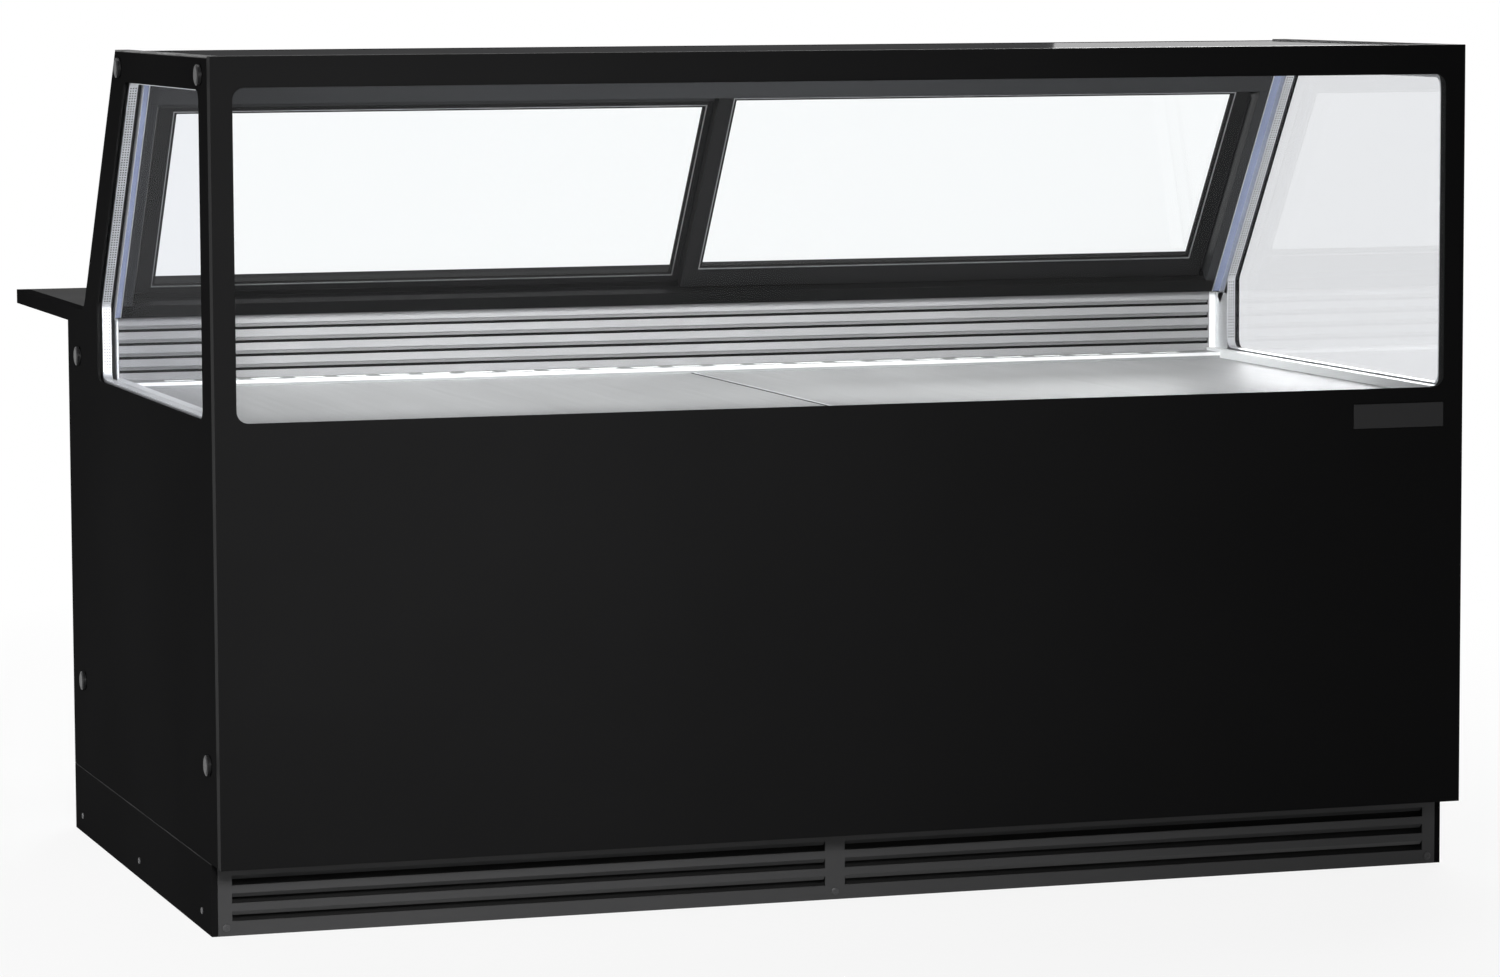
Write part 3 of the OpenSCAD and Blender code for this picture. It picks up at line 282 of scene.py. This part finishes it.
def foam_look():
    """Yellow foam, painted black from just below the sill upwards, where it faces the air duct
    behind the grille: painted shade for the dark duct.
    """
    g = Graph("foam")
    fine = g.noise((160, 160, 160), 3, 3.3)
    # Painted shade: the foam turns black above this height.
    duct_shade_mask = g.ramp(g.spot()[2], 0.0, 1.0, SILL_Z - 0.115, SILL_Z - 0.110)
    cells = g.tint(fine, (0.66, 0.58, 0.36), (0.80, 0.72, 0.46))
    black = g.tint(fine, (0.006, 0.006, 0.006), (0.012, 0.012, 0.012))
    return g.finish(g.shader(Base_Color=g.blend(duct_shade_mask, cells, black),
                             Roughness=g.ramp(fine, 0.8, 0.9),
                             Specular_IOR_Level=0.1, Normal=g.bump(fine, 0.0003)))


def ledge_look():
    """White lacquer. The slotted shelf's top and the foot of its lip are a greyer satin."""
    g = Graph("white_ledge")
    clouds = g.noise((6, 6, 6), 3, 1.7)
    fine = g.noise((300, 300, 300), 2, 5.5)
    x, y, z = g.spot()
    top = g.math("MULTIPLY", g.ramp(z, 0.0, 1.0, SHELF_Z - 0.0003, SHELF_Z - 0.0001),
                 g.ramp(y, 0.0, 1.0, SHELF_FRONT + 0.010, SHELF_FRONT + 0.011))
    foot = g.math("MULTIPLY", g.ramp(z, 1.0, 0.0, SHELF_Z - 0.0056, SHELF_Z - 0.0050),
                  g.ramp(y, 0.0, 1.0, SHELF_FRONT - 0.002, SHELF_FRONT - 0.001))
    between = g.ramp(g.math("ABSOLUTE", x), 1.0, 0.0, LEDGE_X - 0.001, LEDGE_X)
    share = g.math("MULTIPLY", g.math("MAXIMUM", top, foot), between)
    white = g.tint(clouds, (0.92, 0.93, 0.93), (0.95, 0.96, 0.96))
    satin = g.tint(clouds, (0.28, 0.29, 0.29), (0.34, 0.35, 0.35))
    return g.finish(g.shader(Base_Color=g.blend(share, white, satin),
                             Roughness=g.ramp(fine, 0.3, 0.4),
                             Specular_IOR_Level=0.25, Normal=g.bump(fine, 0.00002)))


def panel_with_painted_edge_highlight(name, top, band, colour, pale):
    """Black powder coat with a paler strip painted along the panel's top edge: a painted
    highlight, broken up in streaks.
    """
    g = Graph(name)
    clouds = g.noise((3, 3, 3), 4, 1.3)
    grain = g.noise((420, 420, 420), 2, 4.1)
    # Streaky noise and a mask just under the top edge, for the painted highlight.
    highlight_breakup = g.noise((9, 9, 60), 4, 8.1)
    edge = g.ramp(g.spot()[2], 0.0, 1.0, top - 1.5 * band, top - band / 2)
    share = g.math("MULTIPLY", edge, g.ramp(highlight_breakup, 0.6, 1.0))
    black = g.tint(clouds, scaled(colour, 0.94), scaled(colour, 1.06))
    light = g.tint(highlight_breakup, scaled(pale, 0.8), scaled(pale, 1.2))
    return g.finish(g.shader(Base_Color=g.blend(share, black, light),
                             Roughness=g.ramp(clouds, 0.47, 0.53),
                             Specular_IOR_Level=0.0, Normal=g.bump(grain, 0.00003)))


def roof_look():
    """Dark top glass with a paler strip behind the front rail painted into its colour: a painted
    reflection of the bright surroundings. It mirrors only edge-on, and its mirror share fades
    towards the back, painted shade for the dark rear rail mirrored there.
    """
    g = Graph("glass_dark")
    film = g.noise((4, 4, 4), 3, 2.9)
    y = g.spot()[1]
    # Mask of the painted reflection: the glass within 100 mm of the front panel's face.
    band = g.ramp(y, 1.0, 0.0, FRONT_Y + 0.100, FRONT_Y + 0.102)
    dark_glass = g.tint(film, (0.012, 0.012, 0.013), (0.018, 0.018, 0.020))
    painted_reflection_colour = g.tint(film, (0.26, 0.26, 0.26), (0.38, 0.38, 0.38))
    dark = g.shader(Base_Color=g.blend(band, dark_glass, painted_reflection_colour),
                    Roughness=g.ramp(film, 0.10, 0.16), Specular_IOR_Level=0.0)
    gloss = g.node("ShaderNodeBsdfGlossy", {"Color": (1, 1, 1, 1), "Roughness": 0.05})
    facing = g.node("ShaderNodeLayerWeight", {"Blend": 0.5}).outputs["Facing"]
    # The mirror share fades towards the back by position: painted shade on the reflection.
    share = g.math("MULTIPLY", g.ramp(facing, 0.0, 1.0, 0.90, 0.98),
                   g.ramp(y, 0.45, 0.05, FRONT_Y + 0.12, FRONT_Y + 0.16))
    return g.finish(g.node("ShaderNodeMixShader", {0: share, 1: dark.outputs[0],
                                                   2: gloss.outputs[0]}))


def satin_steel():
    """Deck steel, brushed from front to back, with soft broad reflections."""
    g = Graph("steel_brushed")
    brush = g.noise((260, 3, 60), 3, 2.2)
    broad = g.noise((5, 0.6, 5), 2, 7.7)
    tone = g.node("ShaderNodeMix", {0: 0.6, 2: brush, 3: broad}, data_type="FLOAT").outputs[0]
    return g.finish(g.shader(
        Base_Color=g.tint(tone, (0.36, 0.362, 0.365), (0.48, 0.482, 0.485)),
        Metallic=0.2, Roughness=g.ramp(broad, 0.44, 0.54), Specular_IOR_Level=0.1,
        Normal=g.bump(brush, 0.000003)))


FRONT_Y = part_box("front_panel")[0].y
SILL_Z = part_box("door_frame_sill")[0].z
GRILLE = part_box("rear_air_grille")
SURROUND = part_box("deck_surround")
LEDGE_X = SURROUND[1].x - 0.017         # inner side of the white side ledges
SHELF_Z = SURROUND[1].z - 0.0045        # top of the slotted shelf
SHELF_FRONT = FRONT_Y + 0.868           # its front edge
GLAZING_REAR = FRONT_Y + 0.893          # rear edge of the side panes' clear area
GLAZING_LOW = 0.770                     # its lower edge
ROOF_DEPTH = 0.705
BLACK = (0.0095, 0.0095, 0.0097)
looks = {
    "black_panel": powder_coat("black_panel", BLACK, 0.5, 0.015),
    "black_frame": powder_coat("black_frame", (0.007, 0.007, 0.0073), 0.38, 0.04, 0.00001),
    "door_aluminium": powder_coat("door_aluminium", (0.012, 0.012, 0.0124), 0.34, 0.05, 0.00001),
    "plinth_grey": powder_coat("plinth_grey", (0.050, 0.050, 0.051), 0.42, 0.2),
    "frame_steel": powder_coat("frame_steel", (0.12, 0.12, 0.125), 0.5, 0.3),
    "glass_clear": pane("glass_clear", (0.988, 0.993, 0.995), 0.10),
    "glass_dark": roof_look(),
    "spacer_alu": brushed_metal("spacer_alu", (0.80, 0.81, 0.82), 0.45, (30, 600, 600)),
    "rubber_black": moulded("rubber_black", (0.012, 0.012, 0.012), 0.65, 0.1),
    "grille_grey": powder_coat("grille_grey", (0.31, 0.31, 0.315), 0.42, 0.2, 0.00001),
    "steel_brushed": satin_steel(),
    "white_ledge": ledge_look(),
    "lamp_diffuser": moulded("lamp_diffuser", (0.85, 0.86, 0.88), 0.4),
    "foam": foam_look(),
    "fan_plastic": moulded("fan_plastic", (0.03, 0.03, 0.032), 0.5),
    "motor_grey": moulded("motor_grey", (0.09, 0.09, 0.095), 0.45),
    "compressor_black": powder_coat("compressor_black", (0.012, 0.012, 0.012), 0.3, 0.5),
    "copper": brushed_metal("copper", (0.72, 0.36, 0.2), 0.28, (60, 60, 60)),
    "zinc_screw": moulded("zinc_screw", (0.045, 0.045, 0.046), 0.4, 0.3),
    "control_dark": moulded("control_dark", (0.018, 0.018, 0.019), 0.35, 0.2),
    "switch_green": moulded("switch_green", (0.02, 0.28, 0.05), 0.3),
    "switch_white": moulded("switch_white", (0.75, 0.75, 0.72), 0.35),
    "lever_red": moulded("lever_red", (0.45, 0.02, 0.015), 0.4),
}
bead_look = brushed_metal("bead_satin", (0.42, 0.42, 0.43), 0.40, (60, 60, 60))
# The louvre lips: a darker copy of the grille grey, as painted shade.
lip_shaded_grey = powder_coat("louvre_lip", (0.20, 0.20, 0.203), 0.42, 0.2, 0.00001)
# A bright metal for a strip on the right deck plate's edge: painted highlight.
edge_highlight_metal = brushed_metal("painted_edge_highlight", (0.85, 0.85, 0.86), 0.5, (60, 6, 60), 0.05)
# White for the sheet under the shelf's slots: painted light seen through them.
slot_light_look = moulded("slot_white", (0.93, 0.94, 0.95), 0.4, 0.2)
cap_look = moulded("cap_satin", (0.011, 0.011, 0.0115), 0.35, 0.15)
screw_look = moulded("screw_dark", (0.060, 0.060, 0.062), 0.4, 0.3)
top_look = powder_coat("top_frame_black", (0.020, 0.020, 0.021), 0.45, 0.0)
# The left pane mirrors far less than the right one, which darkens its reflections: painted shade
# on that side's glass.
left_pane = pane("side_glass_left", (0.970, 0.973, 0.981), 0.012)
right_pane = pane("side_glass_right", (0.974, 0.975, 0.980), 0.10)
# Side panels and plinth sides get a painted highlight along their top edges.
side_look = panel_with_painted_edge_highlight("side_panel_black", CAD_BOX[1].z, 0.0022, BLACK, (0.34, 0.34, 0.34))
plinth_side_look = panel_with_painted_edge_highlight("plinth_side_black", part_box("plinth_side_panels")[1].z, 0.0012,
                               BLACK, (0.055, 0.055, 0.055))
satin_black = powder_coat("satin_black", (0.030, 0.031, 0.033), 0.34, 0.15, 0.00001)
own_looks = {"door_frame_jambs": satin_black, "door_frame_head": satin_black,
             "left_side_panel": side_look, "right_side_panel": side_look,
             "plinth_side_panels": plinth_side_look,
             "side_panel_caps": cap_look, "plinth_screws": screw_look, "top_frame": top_look,
             "left_side_glass": left_pane, "right_side_glass": right_pane}

slots = {}
for row in frame["record"]["subparts"]:
    slots[row["node"]] = row.get("material_slot") or row.get("material")


def soften(node, width, segments=2):
    """Rounds the sheared edges of a CAD node."""
    thing = NODES[node]
    weld = thing.modifiers.new("weld", "WELD")
    weld.merge_threshold = 0.00001
    flat = thing.modifiers.new("flat", "DECIMATE")
    flat.decimate_type = "DISSOLVE"
    flat.angle_limit = math.radians(0.5)
    bevel = thing.modifiers.new("edge", "BEVEL")
    bevel.width = width
    bevel.segments = segments
    bevel.limit_method = "ANGLE"
    bevel.angle_limit = math.radians(40)
    bevel.use_clamp_overlap = True
    bevel.harden_normals = True


for name, thing in NODES.items():
    thing.data.materials.clear()
    thing.data.materials.append(own_looks.get(name) or looks[slots[name]])

for name, width in (("front_panel", 0.0008), ("left_side_panel", 0.0008),
                    ("right_side_panel", 0.0008), ("plinth_side_panels", 0.0008),
                    ("left_door_frame", 0.0008), ("right_door_frame", 0.0008),
                    ("door_frame_jambs", 0.0008), ("door_frame_head", 0.0008),
                    ("door_frame_sill", 0.0008), ("worktop", 0.001), ("badge_plate", 0.0005),
                    ("left_deck_plate", 0.0004), ("right_deck_plate", 0.0004),
                    ("rear_air_grille", 0.0004), ("deck_surround", 0.0004)):
    soften(name, width)


# ---------- pieces in the cabinet ----------

SLANT = math.radians(35)
SLOPE_TOP = Vector((0, FRONT_Y + ROOF_DEPTH, CAD_BOX[1].z))


def on_slope(x, inside, down):
    """A point by its distances inside the sloping rear and down it."""
    return SLOPE_TOP + Vector((
        x, down * math.sin(SLANT) - inside * math.cos(SLANT),
        -down * math.cos(SLANT) - inside * math.sin(SLANT)))


def piece(name, mesh, look, body):
    made = bpy.data.objects.new(name, mesh)
    mesh.materials.append(look)
    bpy.context.scene.collection.objects.link(made)
    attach(made, body)
    return made


def finish_mesh(name, bm):
    bmesh.ops.recalc_face_normals(bm, faces=bm.faces)
    mesh = bpy.data.meshes.new(name)
    bm.to_mesh(mesh)
    bm.free()
    return mesh


def add_prism(bm, corners):
    """A box by its eight corners: four round one end, then the four across from them."""
    points = [bm.verts.new(c) for c in corners]
    a, b = points[:4], points[4:]
    bm.faces.new(a)
    bm.faces.new(b)
    for i in range(4):
        j = (i + 1) % 4
        bm.faces.new((a[i], a[j], b[j], b[i]))


def slope_bar(bm, x0, x1, n0, n1, s0, s1):
    """A bar on the sloping rear: x0 to x1 across, n0 to n1 inside it and s0 to s1 down it."""
    add_prism(bm, [on_slope(x, n, s) for s in (s0, s1)
                   for x, n in ((x0, n0), (x1, n0), (x1, n1), (x0, n1))])


def upright_bar(bm, low, high):
    """A box square to the frame, by two opposite corners."""
    round_it = ((low.x, low.y), (high.x, low.y), (high.x, high.y), (low.x, high.y))
    add_prism(bm, [Vector((x, y, z)) for z in (low.z, high.z) for x, y in round_it])


def rounded(made, width, segments=2):
    """Bevels a new piece's edges."""
    bevel = made.modifiers.new("edge", "BEVEL")
    bevel.width = width
    bevel.segments = segments
    bevel.limit_method = "ANGLE"



def door_trim(side):
    """Rubber and a bright bead round the inner face of a door's glass, mitred at the corners."""
    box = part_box(side + "_door_glass")
    rebate, opening = 0.007, 0.351
    x0, x1 = box[0].x + rebate, box[1].x - rebate
    n0 = {"left": 0.026, "right": 0.048}[side]      # how far inside the slope the door runs
    s0 = {"left": 0.092, "right": 0.063}[side]      # how far down the slope its glass starts
    s1 = s0 + opening
    for name, off, width, low, high, look, slot in (
            ("gasket", 0.0, 0.0045, 0.0113, 0.0160, looks["rubber_black"], "rubber_black"),
            ("bead", -0.0016, 0.0018, 0.0160, 0.0183, bead_look, "door_aluminium")):
        bm = bmesh.new()
        ring = [[(x0 + d, s0 + d), (x1 - d, s0 + d), (x1 - d, s1 - d), (x0 + d, s1 - d)]
                for d in (off, off + width)]
        loops = [[bm.verts.new(on_slope(x, n0 + n, s)) for x, s in ring[i]]
                 for i, n in ((0, low), (1, low), (1, high), (0, high))]
        for k in range(4):
            for i in range(4):
                j, m = (i + 1) % 4, (k + 1) % 4
                bm.faces.new((loops[k][i], loops[k][j], loops[m][j], loops[m][i]))
        made = piece(side + "_door_" + name, finish_mesh(name, bm), look, side + "_door")
        rounded(made, 0.0004)


for side in ("left", "right"):
    door_trim(side)


def frit_look():
    """Pale blue edge film, mottled along its length."""
    g = Graph("edge_film")
    bands = g.noise((2, 5, 5), 3, 3.7)
    return g.finish(g.shader(
        Base_Color=g.tint(bands, (0.20, 0.23, 0.35), (0.27, 0.31, 0.44)),
        Roughness=g.ramp(bands, 0.25, 0.35), Specular_IOR_Level=0.3))


def edge_strips():
    """The blue film on each jamb's face and the pale lines beside it."""
    face = 0.080                        # the jambs' inner face, from the slope
    top, low = -0.010, 0.4770           # the film's ends, down the slope
    jamb_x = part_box("door_frame_jambs")[1].x
    wall_x = SURROUND[1].x
    film, lines = bmesh.new(), bmesh.new()
    for turn in (-1, 1):
        slope_bar(film, turn * (jamb_x - 0.0128), turn * (jamb_x - 0.0002),
                  face + 0.0001, face + 0.0010, top, low)
        slope_bar(lines, turn * (jamb_x - 0.0145), turn * (jamb_x - 0.0129),
                  face + 0.0001, face + 0.0014, top, low)
        wall = turn * (wall_x - 0.0009), turn * (wall_x - 0.0001)
        slope_bar(lines, *wall, face + 0.0003, face + 0.018, 0.002, 0.4900)
        upright_bar(lines, Vector((wall[0], GLAZING_REAR - 0.016, SHELF_Z + 0.0048)),
                    Vector((wall[1], GLAZING_REAR + 0.034, SILL_Z - 0.001)))
    made = piece("edge_film", finish_mesh("edge_film", film), frit_look(), "cabinet")
    rounded(made, 0.0003)
    made = piece("edge_film_lines", finish_mesh("edge_film_lines", lines), looks["spacer_alu"],
                 "cabinet")
    rounded(made, 0.0003)


edge_strips()


def spacer_holes():
    """Rows of fine dark discs on the inner face of the side panes' spacer bars."""
    bm = bmesh.new()
    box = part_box("right_side_glass")
    middle = (box[0].x + box[1].x) / 2
    pitch, size, proud = 0.0050, 0.0012, 0.0021
    border, rear, low = 0.084 + proud, GLAZING_REAR - proud, GLAZING_LOW - proud
    sideways, upwards = Vector((1, 0, 0)), Vector((0, 0, 1))
    down_slope = Vector((0, math.sin(SLANT), -math.cos(SLANT)))

    def disc(centre, across):
        bm.faces.new([bm.verts.new(centre + sideways * size * math.cos(a)
                                   + across * size * math.sin(a))
                      for a in [math.tau * k / 6 for k in range(6)]])

    for turn in (-1, 1):
        for row in (-0.0040, 0.0, 0.0040):
            x = turn * (middle + row)
            s = (0.050 - border * math.sin(SLANT)) / math.cos(SLANT) + 0.012
            while on_slope(x, border, s).y < rear - 0.004:
                disc(on_slope(x, border, s), down_slope)
                s += pitch
            z = on_slope(x, border, s).z - 0.004
            while z > low + 0.018:
                disc(Vector((x, rear, z)), upwards)
                z -= pitch
    piece("spacer_holes", finish_mesh("spacer_holes", bm), looks["rubber_black"],
          "cabinet")


spacer_holes()


def louvre_lips():
    """The grey lip that hangs behind the upper part of each slot in the air grille, coloured a
    darker grey than the grille as painted shade.
    """
    first, pitch, slot_h, bars = GRILLE[0].z + 0.012, 0.0223, 0.010, 4
    half, drop, rise, lean = 0.9565, 0.0058, 0.0015, 0.0020
    y0, y1 = GRILLE[0].y + 0.0022, GRILLE[0].y + 0.0032
    bm = bmesh.new()
    for i in range(bars):
        top = first + i * pitch + slot_h
        side = ((y0 + lean, top - drop), (y1 + lean, top - drop), (y1, top + rise),
                (y0, top + rise))
        add_prism(bm, [Vector((x, y, z)) for x in (-half, half) for y, z in side])
    made = piece("louvre_lips", finish_mesh("louvre_lips", bm), lip_shaded_grey, "cabinet")
    rounded(made, 0.0002)


louvre_lips()


def add_bar(name, low, high, look, body, slot, edge=0.0003):
    """One bar as a piece of its own."""
    bm = bmesh.new()
    upright_bar(bm, Vector(low), Vector(high))
    rounded(piece(name, finish_mesh(name, bm), look, body), edge)


def trims():
    """White returns beside the grille; a bright metal strip on the right deck plate's edge as a
    painted highlight, and a dark strip on the left plate as painted shade of the gap between the
    deck plates.
    """
    face = GRILLE[0].y
    inner, outer = 0.9585, 0.9705
    bm = bmesh.new()
    for turn in (-1, 1):
        upright_bar(bm, Vector((turn * inner, face - 0.0022, SHELF_Z + 0.0005)),
                    Vector((turn * outer, face - 0.0012, SILL_Z - 0.001)))
    rounded(piece("end_returns", finish_mesh("end_returns", bm), looks["white_ledge"],
                  "cabinet"), 0.0003)
    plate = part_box("right_deck_plate")
    y0, y1, z = plate[0].y + 0.002, plate[1].y - 0.002, plate[1].z
    # Painted highlight along the right plate's edge.
    add_bar("right_plate_edge_highlight", (plate[0].x + 0.0002, y0, z + 0.00005),
            (plate[0].x + 0.0045, y1, z + 0.0007), edge_highlight_metal, "right_plate", "steel_brushed")
    # Painted shade of the gap, on the left plate beside the seam.
    add_bar("left_plate_gap_shade", (-0.0040, y0, z + 0.00005), (-0.0011, y1, z + 0.0004),
            looks["rubber_black"], "left_plate", "rubber_black", 0.0002)


def painted_shade_and_light_sheets():
    """Dark sheets behind the air grille and the plinth grille, painted shade for the dark spaces
    behind them, and a white sheet under the slots of the rear shelf, painted light seen through
    them."""
    low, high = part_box("front_plinth_grille")
    half, gap = 0.956, 0.003
    # Black sheets as painted shade behind both grilles.
    dark = looks["rubber_black"], "cabinet", "rubber_black"
    add_bar("grille_shade_sheet", (-half, GRILLE[0].y + 0.0115, GRILLE[0].z + gap),
            (half, GRILLE[0].y + 0.0125, GRILLE[1].z - 0.001), *dark)
    add_bar("plinth_shade_sheet", (low.x + gap, low.y + 0.024, 0.001),
            (high.x - gap, low.y + 0.025, high.z - 0.001), *dark)
    # A white sheet under the shelf's slots, as painted light seen through them.
    reach = LEDGE_X - 0.02
    add_bar("slot_light_sheet", (-reach, SHELF_FRONT + 0.012, SHELF_Z - 0.0035),
            (reach, GRILLE[0].y - 0.008, SHELF_Z - 0.0020), slot_light_look, "cabinet", "white_ledge")


trims()
painted_shade_and_light_sheets()


# ---------- floor ----------

def make_floor():
    """A pale matt floor that shows white round the object and is plain under it."""
    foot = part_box("plinth_side_panels")
    g = Graph("pale_floor")
    speck = g.noise((60, 60, 60), 4, 9.2)
    matt = g.shader(Base_Color=g.tint(speck, (0.80, 0.80, 0.80), (0.84, 0.84, 0.84)),
                    Roughness=g.ramp(speck, 0.7, 0.8), Specular_IOR_Level=0.2)
    glow = g.node("ShaderNodeEmission", {"Color": (1, 1, 1, 1), "Strength": 1.0})
    path = g.node("ShaderNodeLightPath").outputs
    seen = g.math("MAXIMUM", g.math("MAXIMUM", path["Is Camera Ray"], path["Is Glossy Ray"]),
                  path["Is Transmission Ray"])
    x, y, _ = g.spot()
    across = g.math("ABSOLUTE", x)
    along = g.math("ABSOLUTE", g.math("SUBTRACT", y, (foot[0].y + foot[1].y) / 2))
    half_depth = (foot[1].y - foot[0].y) / 2
    outside = g.math("MAXIMUM", g.ramp(across, 0.0, 1.0, foot[1].x - 0.012, foot[1].x),
                     g.ramp(along, 0.0, 1.0, half_depth - 0.06, half_depth))
    far = g.node("ShaderNodeVectorMath", {0: g.place}, operation="LENGTH").outputs["Value"]
    lit = g.math("MULTIPLY", outside, g.ramp(far, 0.88, 1.0, 1.4, 3.5))
    mix = g.node("ShaderNodeMixShader", {0: g.math("MULTIPLY", seen, lit), 1: matt.outputs[0],
                                         2: glow.outputs[0]})
    mesh = bpy.data.meshes.new("floor")
    size = 60
    mesh.from_pydata([(-size, -size, 0), (size, -size, 0), (size, size, 0), (-size, size, 0)],
                     [], [(0, 1, 2, 3)])
    floor = bpy.data.objects.new("floor", mesh)
    floor.data.materials.append(g.finish(mix))
    bpy.context.scene.collection.objects.link(floor)


make_floor()
